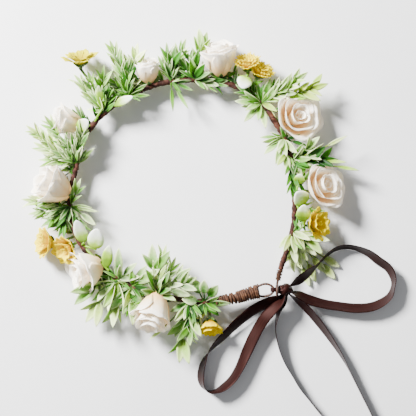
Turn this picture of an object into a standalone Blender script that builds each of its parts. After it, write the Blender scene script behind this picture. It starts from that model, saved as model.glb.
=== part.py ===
"""Flower crown: a taped wire ring with roses, yellow flowers and leaf sprigs, closed by a ribbon bow.

The crown lies on z = 0 with +Z up. Plan positions are in millimetres and become metres in plan().
"""

import math

import bmesh
import bpy
import numpy as np
from mathutils import Matrix, Vector

MM = 0.001
GAP = 0.3 * MM                 # clearance between touching pieces

# Ring: a wire wrapped in paper tape. Its two ends are bent into eyes for the ribbon.
PLAN_SHIFT = (-16.6, 15.4)     # mm, puts the origin under the middle of the crown without its loose tails
RING_Z = 12.0 * MM
WIRE_RADIUS = 0.9 * MM
TAPE_RADIUS = 2.4 * MM
TAPE_WALL = 1.0 * MM
RING_POINTS = [
    (78, -64), (82, -52), (89, -26), (89, 4), (85, 31), (75, 53), (57, 75), (30, 87), (-2, 88), (-30, 82),
    (-56, 68), (-77, 46), (-86, 18), (-91, -10), (-84, -40), (-62, -65), (-32, -81), (-6, -87), (20, -90),
    (42, -86.5), (54, -81),
]
LEFT_EYE = [(59, -78), (65, -75.5), (70, -76.3), (73, -80), (70, -84), (64, -85.4), (56, -84), (48, -86.6)]
LEFT_BINDING = [(26, -89.3), (36, -87.7), (42, -86.6), (48, -85.2), (55.5, -82.2)]
RIGHT_BINDING = [(77.88, -64.5), (76.1, -72.6)]
HOOK_CENTRE = (75.5, -80.0)
HOOK_RADIUS = 4.9 * MM
TAPE_START_Y = -66.0           # the tape leaves bare the ends of the wire beyond these two lines of the plan
TAPE_END_X = 22.0
LEFT_WINDING = (2.9 * MM, 5.0 * MM)    # outer radius of each winding where it starts and where it ends
RIGHT_WINDING = (2.4 * MM, 2.0 * MM)
WINDING_RIDGE = 0.2 * MM

# Ribbon: 10 mm wide, on edge or leaning where it lies loose.
RIBBON_WIDTH = 10.0 * MM
RIBBON_ROOT_WIDTH = 3.4 * MM
RIBBON_FLARE = 20.0 * MM       # length over which the bunched ribbon opens out at the knot
RIBBON_THICKNESS = 0.8 * MM
KNOT_CENTRE = (82.0, -80.0)
KNOT_SIZE = (9.0 * MM, 8.0 * MM, 8.4 * MM)
TIE_WIDTH = 3.0 * MM           # the ribbon is bunched where it passes through the two eyes
TIE_RADIUS = 2.5 * MM

# Each point is x, y (mm), height of the middle line (mm) and lean (degrees): 90 stands on edge,
# under 90 the top edge leans to the left of the direction of travel, over 90 to the right.
LOOP_RIGHT = [
    (86.6, -76.8, 12, 88), (94, -72, 11, 60), (102, -66, 9, 62), (109, -60, 7, 76), (116, -53, 6, 72),
    (123, -48, 5.6, 68), (131, -46, 5.2, 66), (140, -47, 5.2, 66), (150, -51, 5.2, 58), (158, -57, 5.2, 52),
    (166, -63, 5.2, 56), (170, -71, 5.2, 70), (170, -78, 5.2, 82), (167, -86, 5.2, 70), (159, -92, 5.2, 56),
    (150, -95, 5.2, 50), (138, -95.5, 5.4, 46), (126, -94, 5.8, 50), (114, -92, 6.4, 52), (102, -88.4, 8.4, 60),
    (94, -84.6, 10.4, 68), (87.6, -81.8, 12, 88),
]
LOOP_LEFT = [
    (79.2, -85, 11, 92), (74.5, -88, 10.6, 98), (67, -91.4, 9, 114), (58, -96, 7.6, 132),
    (50, -102, 6.4, 134), (42, -109, 5.8, 134),
    (34, -117, 5.4, 130), (26, -125, 5.2, 118), (21, -131, 5.2, 100), (17.5, -137, 5.2, 74), (15, -144, 5.2, 62),
    (14, -152, 5.2, 58), (15.5, -159, 5.2, 70), (20, -163, 5.2, 88), (26, -163, 5.2, 100), (33, -159.5, 5.2, 118),
    (40, -153, 5.2, 124), (46, -143, 5.2, 130), (51, -132, 5.2, 142), (56, -121, 5.8, 148), (61, -111, 6.8, 144),
    (66, -103, 8.2, 134), (73, -95, 10, 116), (78.4, -89.6, 11.2, 98), (81, -86, 11.6, 92),
]
TAIL_LEFT = [
    (83, -85.8, 12, 90), (80.4, -91, 11, 90), (77, -98, 8.6, 90), (74.6, -110, 6.4, 90), (75.6, -120, 5.6, 90),
    (78, -130, 5.3, 90), (82, -140, 5.3, 90), (88, -150, 5.3, 90), (94, -160, 5.3, 90), (102, -170, 5.3, 90),
    (110, -180, 5.3, 90), (119, -190, 5.3, 90), (129, -199, 5.3, 90), (140, -207, 5.3, 90), (152, -214, 5.3, 90),
    (165, -219, 5.3, 90),
]
TAIL_RIGHT = [
    (86.4, -84.8, 12, 90), (93, -89.4, 10.6, 74), (100, -96, 8.4, 70), (107, -104, 6.6, 72), (114, -113, 5.6, 76),
    (121, -123, 5.3, 80), (128, -134, 5.3, 84), (134, -145, 5.3, 88), (140, -157, 5.3, 90), (146, -169, 5.3, 90),
    (152, -181, 5.3, 90), (157, -192, 5.3, 90), (163, -203, 5.3, 90), (171, -213, 5.3, 90), (181, -221, 5.3, 90),
    (192, -227, 5.3, 90),
]

# Flowers: centre x, y, z (mm), compass direction and rise of the opening (degrees), radius, depth (mm).
ROSES = [
    (-28, 98, 12, 100, 18, 10.5, 19),
    (30, 107, 11.2, 94, 12, 15.6, 25),
    (96, 60, 12.2, 10, 46, 19, 21),
    (117, 2, 12.0, -8, 44, 19, 21),
    (-95, 56, 8.6, 165, 10, 12.4, 28),
    (-108, 6, 11.4, 158, 20, 16.5, 24),
    (-83, -69, 10.8, 205, 22, 16, 20),
    (-24, -103, 11.2, 250, 26, 16.5, 21),
]
YELLOW_FLOWERS = [
    (-82, 104, 18, 95, 30, 13, 10),
    (51, 102, 19, 88, 35, 7.6, 10),
    (64, 97, 16, 55, 30, 7.6, 10),
    (108, -27, 14, -10, 35, 10, 12),
    (-112, -42, 11, 185, 15, 10, 12),
    (-95, -47, 15, 215, 35, 9, 11),
    (24, -111, 10, -80, 12, 9, 11),
]

# Leaf sprigs: root on the ring x, y (mm), heading and rise (degrees), stem length (mm), leaf pairs,
# leaf length and width (mm), and how far the leaves spread from the stem (degrees).
SPRIGS = [
    (-64, 60, 110, 18, 26, 2, 17, 6.2, 34),
    (-47, 74, 97, 12, 34, 3, 17, 6.2, 30),
    (-14, 86, 88, 16, 22, 2, 17, 6.2, 36),
    (0, 87, 73, 12, 32, 3, 17, 6.2, 26),
    (62, 70, 34, 26, 34, 3, 17, 6, 26),
    (80, 42, 232, 10, 18, 2, 15, 6, 38),
    (86, 27, 4, 24, 36, 3, 17, 6, 26),
    (89, -30, -72, 12, 20, 2, 16, 7, 26),
    (-86, 20, 150, 20, 36, 3, 17, 6, 26),
    (-91, -12, 192, 14, 34, 3, 17, 6.2, 24),
    (-52, -72, 230, 16, 34, 3, 16, 6, 28),
    (-42, -77, 256, 10, 22, 2, 17, 6.2, 30),
    (-6, -87, 122, 14, 36, 3, 17, 6.4, 36),
    (20, -90, 108, 24, 10, 1, 17, 9.5, 48),
    (6, -89, 256, 8, 32, 3, 17, 6, 24),
]

# Thick waxy leaves: root x, y (mm), then heading, rise, length and width of each leaf.
WAXY_SPRIGS = [
    (-78, -48, [(128, 62, 19, 9.5), (62, 45, 19, 11), (8, 40, 19, 8.5)]),
    (89, -6, [(86, 66, 13, 9), (200, 74, 13, 9), (286, 58, 15, 10)]),
    (44, 82, [(250, 64, 12, 11)]),
    (-72, 52, [(236, 60, 12, 9), (20, 64, 17, 7)]),
    (-36, 80, [(218, 40, 17, 6.5)]),
]
WAXY_THICKNESS = 2.6 * MM
LEAF_THICKNESS = 1.1 * MM
STEM_RADIUS = 0.8 * MM
NECK = 4.2 * MM                # height of the calyx cup
FIRST_PAIR = 0.3               # where a sprig's first and last pairs of leaves leave its stem, as shares of it
LAST_PAIR = 0.86
BLOOM_FOOT = 0.72              # width of a bloom at its foot, as a share of its width at the mouth
BLOOM_DISH = 0.35              # depth of the hollow in its mouth, as a share of its depth

COLLECTION = bpy.data.collections.new("flower_crown")
CUTTERS = bpy.data.collections.new("union_pieces")


def clear_scene():
    for old in list(bpy.data.objects):
        bpy.data.objects.remove(old, do_unlink=True)
    bpy.context.scene.collection.children.link(COLLECTION)
    bpy.context.scene.collection.children.link(CUTTERS)


def material(name, colour, roughness):
    made = bpy.data.materials.new(name)
    made.use_nodes = True
    shader = made.node_tree.nodes["Principled BSDF"]
    shader.inputs["Base Color"].default_value = (*colour, 1.0)
    shader.inputs["Roughness"].default_value = roughness
    shader.inputs["Metallic"].default_value = 0.0
    return made


def plan(x, y, z=0.0):
    """Plan position in mm and height in m, as a point in metres from the crown's own origin."""
    return Vector(((x + PLAN_SHIFT[0]) * MM, (y + PLAN_SHIFT[1]) * MM, z))


def direction(heading, rise):
    """Unit vector at a compass heading (degrees from +X) and a rise above the horizontal."""
    flat = math.cos(math.radians(rise))
    return Vector((flat * math.cos(math.radians(heading)), flat * math.sin(math.radians(heading)),
                   math.sin(math.radians(rise))))


def smooth(points, spacing):
    """Catmull-Rom curve through the points, resampled at equal spacing. Works on any number of columns."""
    knots = np.array(points, dtype=float)
    padded = np.vstack([2 * knots[0] - knots[1], knots, 2 * knots[-1] - knots[-2]])
    fine = []
    for i in range(1, len(padded) - 2):
        before, start, end, after = padded[i - 1:i + 3]
        for t in np.linspace(0, 1, 24, endpoint=False):
            fine.append(0.5 * (2 * start + (end - before) * t + (2 * before - 5 * start + 4 * end - after) * t * t
                               + (3 * start - before - 3 * end + after) * t ** 3))
    fine.append(knots[-1])
    fine = np.array(fine)
    along = np.concatenate([[0], np.cumsum(np.linalg.norm(np.diff(fine[:, :3], axis=0), axis=1))])
    count = max(2, int(round(along[-1] / spacing)) + 1)
    stations = np.linspace(0, along[-1], count)
    return np.column_stack([np.interp(stations, along, column) for column in fine.T])


def add(name, data, finish, collection=COLLECTION):
    piece = bpy.data.objects.new(name, data)
    collection.objects.link(piece)
    data.materials.append(finish)
    return piece


def tube(name, points, radii, finish, caps=True, resolution=1):
    """A round bar along a list of points. radii is one radius or one per point."""
    curve = bpy.data.curves.new(name, "CURVE")
    curve.dimensions = "3D"
    curve.bevel_depth = 1.0
    curve.bevel_resolution = resolution
    curve.use_fill_caps = caps
    spline = curve.splines.new("POLY")
    spline.points.add(len(points) - 1)
    radii = np.broadcast_to(radii, len(points))
    for point, place, radius in zip(spline.points, points, radii):
        point.co = (*place, 1.0)
        point.radius = radius
    return add(name, curve, finish)


def as_mesh(piece):
    """Swap a curve object for the mesh it evaluates to, with its loose caps welded on."""
    bpy.context.view_layer.update()
    evaluated = piece.evaluated_get(bpy.context.evaluated_depsgraph_get())
    mesh = bpy.data.meshes.new_from_object(evaluated)
    work = bmesh.new()
    work.from_mesh(mesh)
    bmesh.ops.remove_doubles(work, verts=work.verts, dist=1e-6)
    work.to_mesh(mesh)
    work.free()
    name = piece.name
    finish = piece.data.materials[0]
    bpy.data.objects.remove(piece, do_unlink=True)
    mesh.materials.clear()
    return add(name, mesh, finish)


def sleeve(name, points, radii, wall, finish, resolution=1):
    """A tube with open ends and a wall of even thickness inside its outer radius."""
    piece = as_mesh(tube(name, points, radii, finish, caps=False, resolution=resolution))
    solid = piece.modifiers.new("wall", "SOLIDIFY")
    solid.thickness = wall
    solid.offset = -1.0
    return piece


def ribbon(name, route, finish, flare_ends):
    """A flat strip along a route of x, y, z, lean. It narrows at each end that is bunched into the knot."""
    stations = smooth([(*plan(x, y, z * MM), math.radians(lean)) for x, y, z, lean in route], 6 * MM)
    places = stations[:, :3]
    along = np.concatenate([[0], np.cumsum(np.linalg.norm(np.diff(places, axis=0), axis=1))])
    tangent = np.gradient(places, axis=0)
    tangent[:, 2] = 0
    tangent /= np.linalg.norm(tangent, axis=1)[:, None]
    left = np.column_stack([-tangent[:, 1], tangent[:, 0], np.zeros(len(places))])
    lean = stations[:, 3][:, None]
    across = np.cos(lean) * left + np.sin(lean) * np.array([0, 0, 1.0])
    opened = np.ones(len(places))
    if "start" in flare_ends:
        opened = np.minimum(opened, along / RIBBON_FLARE)
    if "end" in flare_ends:
        opened = np.minimum(opened, (along[-1] - along) / RIBBON_FLARE)
    opened = opened * opened * (3 - 2 * opened)
    half = (RIBBON_ROOT_WIDTH + (RIBBON_WIDTH - RIBBON_ROOT_WIDTH) * opened)[:, None] / 2
    pivot = np.array(plan(*KNOT_CENTRE, RING_Z))
    low = places - across * half - pivot
    high = places + across * half - pivot
    vertices = np.vstack([low, high])
    count = len(places)
    faces = [(i, i + 1, count + i + 1, count + i) for i in range(count - 1)]
    mesh = bpy.data.meshes.new(name)
    mesh.from_pydata(vertices.tolist(), [], faces)
    piece = add(name, mesh, finish)
    piece.location = pivot
    solid = piece.modifiers.new("thickness", "SOLIDIFY")
    solid.thickness = RIBBON_THICKNESS
    solid.offset = 0.0
    return piece


def ring_line(spacing):
    return smooth([plan(x, y, RING_Z) for x, y in RING_POINTS], spacing)


def nearest_on_ring(place):
    line = ring_line(2 * MM)
    return Vector(line[np.argmin(np.linalg.norm(line[:, :2] - np.array(place)[:2], axis=1))])


def bloom(name, centre, heading, rise, radius, depth, petals, ruffle, finish):
    """A cup of petals: a sphere drawn out to its depth, widest near the mouth, dished and scalloped there.

    Where it would dip below the surface that the crown lies on, it is pressed flat.
    """
    work = bmesh.new()
    bmesh.ops.create_uvsphere(work, u_segments=3 * petals, v_segments=7, radius=1.0)
    place = Matrix.Translation(centre) @ direction(heading, rise).to_track_quat("Z", "Y").to_matrix().to_4x4()
    back = place.inverted()
    for vertex in work.verts:
        x, y, z = vertex.co
        upward = (z + 1) / 2
        outward = math.hypot(x, y)
        scallop = 1 + ruffle * upward * math.cos(petals * math.atan2(y, x))
        spread = radius * outward ** 0.8 * (BLOOM_FOOT + (1 - BLOOM_FOOT) * upward) * scallop
        dish = BLOOM_DISH * (1 - outward) ** 2 if z > 0 else 0.0
        turn = math.atan2(y, x)
        local = Vector((spread * math.cos(turn), spread * math.sin(turn), depth * (upward - 0.5 - dish)))
        world = place @ local
        world.z = max(world.z, 0.0)
        vertex.co = back @ world
    mesh = bpy.data.meshes.new(name)
    work.to_mesh(mesh)
    work.free()
    mesh.shade_smooth()
    piece = add(name, mesh, finish)
    piece.matrix_world = place
    return piece


def stem(name, centre, heading, rise, depth, cup_radius, finish):
    """A calyx cup under a bloom that narrows to a stem and ends against the ring's tape."""
    axis = direction(heading, rise)
    top = centre - axis * (depth / 2 + GAP)
    neck = top - axis * NECK
    ring = nearest_on_ring(neck)
    reach = (neck - ring).normalized()
    foot = ring + reach * (TAPE_RADIUS + 2 * GAP)
    points = [top, top - axis * 2.5 * MM, neck, foot]
    radii = [cup_radius, 0.8 * cup_radius, 1.2 * STEM_RADIUS, STEM_RADIUS]
    return tube(name, points, radii, finish)


def leaf(work, root, heading, rise, length, width, thickness):
    """Add one lens-shaped leaf blade to a bmesh: a sphere with its poles at the root and the tip."""
    axis = direction(heading, rise)
    side = Vector((-math.sin(math.radians(heading)), math.cos(math.radians(heading)), 0))
    up = side.cross(axis)
    frame = Matrix((side, up, axis)).transposed().to_4x4()
    size = Matrix.Diagonal((width / 2, thickness / 2, length / 2, 1.0))
    place = Matrix.Translation(root + axis * (length / 2 - STEM_RADIUS)) @ frame @ size
    bmesh.ops.create_uvsphere(work, u_segments=6, v_segments=4, radius=1.0, matrix=place)


def sprig(name, stem_points, blades, thickness, finish):
    """A stem with its leaf blades joined to it."""
    piece = as_mesh(tube(name, stem_points, STEM_RADIUS, finish))
    work = bmesh.new()
    for root, heading, rise, length, width in blades:
        leaf(work, root, heading, rise, length, width, thickness)
    bmesh.ops.recalc_face_normals(work, faces=work.faces)
    mesh = bpy.data.meshes.new(name + "_blades")
    work.to_mesh(mesh)
    work.free()
    cutter = add(name + "_blades", mesh, finish, CUTTERS)
    cutter.hide_render = True
    cutter.display_type = "WIRE"
    union = piece.modifiers.new("blades", "BOOLEAN")
    union.operation = "UNION"
    union.use_self = True
    union.object = cutter
    return piece


def sprig_root(x, y):
    ring = nearest_on_ring(plan(x, y))
    return ring + Vector((0, 0, TAPE_RADIUS + GAP + STEM_RADIUS))


def leaf_sprig(name, row, finish):
    x, y, heading, rise, length, pairs, leaf_length, leaf_width, spread = row
    root = sprig_root(x, y)
    axis = direction(heading, rise)
    stem_points = [root + axis * length * MM * t for t in (0, 0.33, 0.67, 1)]
    blades = [(stem_points[-1], heading, rise, leaf_length * MM, leaf_width * MM)]
    for i in range(pairs):
        foot = root + axis * length * MM * (FIRST_PAIR + (LAST_PAIR - FIRST_PAIR) * i / max(pairs - 1, 1))
        for side in (-1, 1):
            blades.append((foot, heading + side * spread, rise + 8 * side, leaf_length * MM, leaf_width * MM))
    return sprig(name, stem_points, blades, LEAF_THICKNESS, finish)


def waxy_sprig(name, row, finish):
    x, y, leaves = row
    root = sprig_root(x, y)
    head = root + Vector((0, 0, 2.5 * MM))
    blades = [(head, heading, rise, length * MM, width * MM) for heading, rise, length, width in leaves]
    return sprig(name, [root, head], blades, WAXY_THICKNESS, finish)


def hook_points():
    """The right end's eye: a circle standing across the ribbon, open by a wire's width where it starts."""
    turns = np.radians(np.linspace(0, 310, 12))
    centre = plan(*HOOK_CENTRE, RING_Z)
    return [centre + Vector((0, HOOK_RADIUS * math.cos(a), HOOK_RADIUS * math.sin(a))) for a in turns]


def build_ring(steel, paper):
    eye = [Vector(p) for p in smooth([plan(x, y, RING_Z) for x, y in LEFT_EYE], 2.5 * MM)]
    middle = [Vector(p) for p in ring_line(8 * MM)]
    tube("ring_wire", hook_points()[::-1] + middle + eye, WIRE_RADIUS, steel)
    taped = [p for p in middle if p.y > plan(0, TAPE_START_Y).y or p.x < plan(TAPE_END_X, 0).x]
    sleeve("ring_tape", taped, TAPE_RADIUS, TAPE_WALL, paper)


def winding(name, route, radii, power, wall, paper):
    """A sleeve whose radius eases from the first to the second, with every other ring of points raised."""
    line = smooth([plan(x, y, RING_Z) for x, y in route], 1.5 * MM)
    t = np.linspace(0, 1, len(line))
    ridge = WINDING_RIDGE * np.cos(np.pi * np.arange(len(line)))
    sleeve(name, line, radii[0] + (radii[1] - radii[0]) * t ** power + ridge, wall, paper, resolution=2)


def build_bindings(paper):
    """Windings of paper-covered wire: a long tapered one beside the left eye, a short one by the right eye."""
    winding("left_binding", LEFT_BINDING, LEFT_WINDING, 0.7, 1.1 * MM, paper)
    winding("right_binding", RIGHT_BINDING, RIGHT_WINDING, 1.0, 0.6 * MM, paper)


def build_tie(satin):
    """The bunched ribbon between the eyes and the knot: a U on its side, round the left eye's tip."""
    eye_tip = LEFT_EYE[3]
    turns = np.radians(np.linspace(90, 270, 9))
    straight = (KNOT_CENTRE[0] - eye_tip[0]) * MM - KNOT_SIZE[0] / 2 - 2 * GAP

    def side(radius):
        bend = [(radius * math.cos(a), radius * math.sin(a)) for a in turns]
        return [(straight, radius)] + bend + [(straight, -radius)]

    outline = side(TIE_RADIUS + RIBBON_THICKNESS / 2) + side(TIE_RADIUS - RIBBON_THICKNESS / 2)[::-1]
    curve = bpy.data.curves.new("ribbon_tie", "CURVE")
    curve.dimensions = "2D"
    curve.fill_mode = "BOTH"
    curve.extrude = TIE_WIDTH / 2
    spline = curve.splines.new("POLY")
    spline.points.add(len(outline) - 1)
    for point, (x, y) in zip(spline.points, outline):
        point.co = (x, y, 0, 1)
    spline.use_cyclic_u = True
    tie = add("ribbon_tie", curve, satin)
    tie.rotation_euler.x = math.pi / 2
    tie.location = plan(*eye_tip, RING_Z)


def build_bow(satin):
    ribbon("ribbon_loop_right", LOOP_RIGHT, satin, ("start", "end"))
    ribbon("ribbon_loop_left", LOOP_LEFT, satin, ("start", "end"))
    ribbon("ribbon_tail_left", TAIL_LEFT, satin, ("start",))
    ribbon("ribbon_tail_right", TAIL_RIGHT, satin, ("start",))
    work = bmesh.new()
    bmesh.ops.create_uvsphere(work, u_segments=12, v_segments=8, radius=0.5, matrix=Matrix.Diagonal((*KNOT_SIZE, 1)))
    mesh = bpy.data.meshes.new("ribbon_knot")
    work.to_mesh(mesh)
    work.free()
    mesh.shade_smooth()
    knot = add("ribbon_knot", mesh, satin)
    knot.location = plan(*KNOT_CENTRE, RING_Z)
    build_tie(satin)


def main():
    clear_scene()
    steel = material("paper_covered_wire", (0.16, 0.07, 0.04), 0.7)
    paper = material("brown_florist_tape", (0.22, 0.10, 0.06), 0.8)
    satin = material("brown_satin", (0.06, 0.02, 0.017), 0.35)
    cream = material("cream_petals", (0.90, 0.80, 0.68), 0.8)
    yellow = material("yellow_petals", (0.85, 0.50, 0.05), 0.8)
    green = material("leaf_green", (0.25, 0.45, 0.15), 0.6)
    sage = material("waxy_green", (0.45, 0.60, 0.35), 0.4)
    build_ring(steel, paper)
    build_bindings(paper)
    build_bow(satin)
    for kind, rows, petals, ruffle, cup, finish in (
        ("rose", ROSES, 5, 0.07, 4.2 * MM, cream),
        ("yellow_flower", YELLOW_FLOWERS, 6, 0.12, 2.4 * MM, yellow),
    ):
        for i, (x, y, z, heading, rise, radius, depth) in enumerate(rows, 1):
            centre = plan(x, y, z * MM)
            bloom(f"{kind}_{i}_bloom", centre, heading, rise, radius * MM, depth * MM, petals, ruffle, finish)
            stem(f"{kind}_{i}_stem", centre, heading, rise, depth * MM, cup, green)
    for i, row in enumerate(SPRIGS, 1):
        leaf_sprig(f"leaf_sprig_{i}", row, green)
    for i, row in enumerate(WAXY_SPRIGS, 1):
        waxy_sprig(f"waxy_sprig_{i}", row, sage)


main()
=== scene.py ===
# %% [markdown]
# # A flower crown on a pale table
# The crown is a bent wire ring wrapped in brown tape. Cream roses, small yellow flowers and frosted leaf sprigs
# are taped round it, and a satin ribbon tied in a bow closes it. The frame holds the plain solids, each in its
# place, and this lesson dresses them.

# %% The frame and its box
from math import asin, atan, atan2, cos, degrees, pi, radians, sin, tan

import bpy
import numpy as np
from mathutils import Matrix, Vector


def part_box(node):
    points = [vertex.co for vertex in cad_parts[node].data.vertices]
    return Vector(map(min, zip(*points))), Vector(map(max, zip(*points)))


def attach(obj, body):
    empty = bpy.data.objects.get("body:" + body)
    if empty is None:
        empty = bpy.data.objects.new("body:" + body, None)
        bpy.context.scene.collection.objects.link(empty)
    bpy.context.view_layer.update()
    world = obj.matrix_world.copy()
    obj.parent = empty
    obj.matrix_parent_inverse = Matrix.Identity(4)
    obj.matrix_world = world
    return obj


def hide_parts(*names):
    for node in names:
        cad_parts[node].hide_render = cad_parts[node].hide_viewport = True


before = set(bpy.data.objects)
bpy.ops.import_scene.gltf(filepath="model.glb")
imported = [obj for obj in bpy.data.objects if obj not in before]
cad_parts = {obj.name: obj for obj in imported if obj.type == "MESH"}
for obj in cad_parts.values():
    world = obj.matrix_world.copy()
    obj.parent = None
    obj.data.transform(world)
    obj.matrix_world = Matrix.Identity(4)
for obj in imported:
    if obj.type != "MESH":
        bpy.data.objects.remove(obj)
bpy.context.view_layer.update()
scene = bpy.context.scene
MM = 0.001
TAU = 2 * pi
seeded = np.random.default_rng

# %% [markdown]
# ## Camera, table and light
# The crown is seen from straight above, through a long lens that keeps the tall flowers from leaning outwards.
# One soft light stands at the back left, so every leaf drops a shadow to the front right, and a dim even sky
# fills the shadows.

# %% Camera
VIEW_CENTRE = (0.0034, 0.0010)
VIEW_WIDTH = 0.333
SENSOR = 0.036
LENS = 0.085
FLOWER_HEIGHT = 0.015


def new_object(name, data):
    """An object of the given data, linked to the scene."""
    made = bpy.data.objects.new(name, data)
    scene.collection.objects.link(made)
    return made


camera = new_object("camera", bpy.data.cameras.new("camera"))
camera.data.sensor_width = SENSOR / MM
camera.data.lens = LENS / MM
camera.location = (*VIEW_CENTRE, VIEW_WIDTH * LENS / SENSOR + FLOWER_HEIGHT)
scene.camera = camera
print("camera height in mm", round(camera.location.z / MM))


# %% Helpers for colours and shader nodes
def linear(hex_colour):
    """sRGB hex to linear RGBA: each channel c is c/12.92 below 0.04045, else ((c + 0.055) / 1.055) ** 2.4."""
    c = np.array([int(hex_colour[i:i + 2], 16) for i in (1, 3, 5)]) / 255
    return (*np.where(c <= 0.04045, c / 12.92, ((c + 0.055) / 1.055) ** 2.4).tolist(), 1.0)


def add_node(made, kind, inputs=(), **settings):
    """One shader node. inputs maps a socket's name or number to a value or to a source socket."""
    fresh = made.node_tree.nodes.new("ShaderNode" + kind)
    for key, value in settings.items():
        setattr(fresh, key, value)
    for key, value in dict(inputs).items():
        if isinstance(value, bpy.types.NodeSocket):
            made.node_tree.links.new(value, fresh.inputs[key])
        else:
            fresh.inputs[key].default_value = value
    return fresh


def new_material(name, roughness, inside=None, glow=None, **sockets):
    """A material whose Principled shader has its constant sockets set by name.

    inside is the weight and reach of the light under the surface, and glow is a colour and its strength of emission:
    a painted glow, light painted into the surface though it is no lamp.
    """
    made = bpy.data.materials.new(name)
    made.use_nodes = True
    if inside:
        sockets.update(Subsurface_Weight=inside[0], Subsurface_Radius=inside[1], Subsurface_Scale=1.0)
    if glow:
        sockets.update(Emission_Color=linear(glow[0]), Emission_Strength=glow[1])
    for key, value in dict(sockets, Roughness=roughness).items():
        made.node_tree.nodes["Principled BSDF"].inputs[key.replace("_", " ")].default_value = value
    return made


def ramp(made, source, stops):
    """A colour ramp over a 0 to 1 source. stops is a list of (place, hex colour)."""
    fresh = add_node(made, "ValToRGB", {"Fac": source})
    elements = fresh.color_ramp.elements
    elements[0].position, elements[0].color = stops[0][0], linear(stops[0][1])
    elements[1].position, elements[1].color = stops[-1][0], linear(stops[-1][1])
    for place, colour in stops[1:-1]:
        elements.new(place).color = linear(colour)
    return fresh.outputs["Color"]


def mix_colour(made, factor, first, second, blend="MIX"):
    """The two colours mixed by factor, or blended in another way."""
    fresh = add_node(made, "Mix", {0: factor, 6: first, 7: second}, data_type="RGBA", blend_type=blend)
    return fresh.outputs[2]


def noise(made, scale, detail=3.0, coordinates=None):
    """A noise pattern of 1/scale metres a blob."""
    return add_node(made, "TexNoise", {"Vector": coordinates or object_place(made), "Scale": scale,
                                                 "Detail": detail}).outputs["Fac"]


def object_place(made):
    """Each point's own place on the piece, in metres."""
    return add_node(made, "TexCoord").outputs["Object"]


def attribute(made, name):
    """A value that the points of the piece carry."""
    return add_node(made, "Attribute", attribute_name=name).outputs["Fac"]


def calc(made, operation, *values):
    """One maths node over numbers or source sockets."""
    return add_node(made, "Math", dict(enumerate(values)), operation=operation).outputs[0]


def surfaced(made, colour, height=None, strength=0.0, relief=0.2 * MM):
    """The material, given its colour pattern and, where there is one, a height pattern for its relief."""
    shader = made.node_tree.nodes["Principled BSDF"]
    made.node_tree.links.new(colour, shader.inputs["Base Color"])
    if height is not None:
        tilt = add_node(made, "Bump", {"Height": height, "Strength": strength, "Distance": relief})
        made.node_tree.links.new(tilt.outputs["Normal"], shader.inputs["Normal"])
    return made


# %% Table and light
# Pale smooth plaster: nearly white, matt, with the faintest cloudiness of a trowelled wall.
plaster = new_material("pale_plaster", 0.85)
surfaced(plaster, ramp(plaster, noise(plaster, 9.0), [(0.3, "#e7e7e8"), (0.7, "#eeeeee")]))

TABLE_SIZE = 4.0
LIGHT_FROM = Vector((-0.80, 0.66, 0.70))
LIGHT_WIDTH = 0.36
LIGHT_WATTS = 112.0
SKY_STRENGTH = 0.38

bpy.ops.mesh.primitive_plane_add(size=TABLE_SIZE, location=(0, 0, 0))
table_top = bpy.context.object
table_top.name = "table_top"
table_top.data.materials.append(plaster)

light = new_object("window_light", bpy.data.lights.new("window_light", "AREA"))
light.data.shape = "DISK"
light.data.size = LIGHT_WIDTH
light.data.energy = LIGHT_WATTS
light.location = LIGHT_FROM
light.rotation_euler = LIGHT_FROM.to_track_quat("Z", "Y").to_euler()

sky = bpy.data.worlds.new("soft_sky")
sky.use_nodes = True
background = sky.node_tree.nodes["Background"].inputs
background["Color"].default_value = linear("#f4f6fa")
background["Strength"].default_value = SKY_STRENGTH
scene.world = sky
print("light is", round(LIGHT_FROM.length, 2), "m from the crown")


# %% [markdown]
# ## Surfaces from arrays
# Every piece is thin and curved, so each is a grid of points: a function of two parameters, or a profile carried
# along a path. A piece made of many leaves or petals is one mesh of many grids, and Solidify gives the thin ones
# their real thickness.

# %% Helpers for grids, paths and meshes
def grid_faces(rows, columns, wrapped=False):
    """Quads between neighbouring points of a rows x columns grid, closed across the columns when wrapped."""
    across = columns if wrapped else columns - 1
    row, column = np.meshgrid(np.arange(rows - 1), np.arange(across), indexing="ij")
    beside = (column + 1) % columns
    corners = [row * columns + column, row * columns + beside,
               (row + 1) * columns + beside, (row + 1) * columns + column]
    return np.stack(corners, axis=-1).reshape(-1, 4)


class Patchwork:
    """Grids gathered for one mesh. Each point also carries named values that its material reads."""

    def __init__(self):
        self.points, self.faces, self.values, self.count = [], [], {}, 0

    def add(self, grid, wrapped=False, flip=False, **values):
        """One more grid, closed across its columns when wrapped, facing the other way when flipped."""
        rows, columns = grid.shape[:2]
        faces = grid_faces(rows, columns, wrapped)
        self.faces.append((faces[:, ::-1] if flip else faces) + self.count)
        self.points.append(grid.reshape(-1, 3))
        self.count += rows * columns
        for key, value in values.items():
            self.values.setdefault(key, []).append(np.broadcast_to(value, (rows, columns)).ravel())
        return self

    def tube(self, path, radius, sides, **values):
        """A tube along the path, closed at both ends."""
        return self.add(capped(tube_grid(path, radius, sides), path), wrapped=True, flip=True, **values)

    def object(self, name, finish, thickness=0.0):
        """The object of all the grids, with a wall where a thickness is given."""
        points = np.vstack(self.points)
        faces = np.vstack(self.faces)
        mesh = bpy.data.meshes.new(name)
        mesh.from_pydata(points.tolist(), [], faces.tolist())
        for key, value in self.values.items():
            layer = mesh.attributes.new(key, "FLOAT", "POINT")
            layer.data.foreach_set("value", np.concatenate(value).astype(np.float32))
        mesh.polygons.foreach_set("use_smooth", np.ones(len(mesh.polygons), dtype=bool))
        mesh.materials.append(finish)
        piece = new_object(name, mesh)
        if thickness:
            wall = piece.modifiers.new("thickness", "SOLIDIFY")
            wall.thickness = thickness
            wall.offset = 0.0
        return piece


def length_along(path):
    """Distance from the path's start to each of its points."""
    return np.concatenate([[0], np.cumsum(np.linalg.norm(np.diff(path, axis=0), axis=1))])


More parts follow.
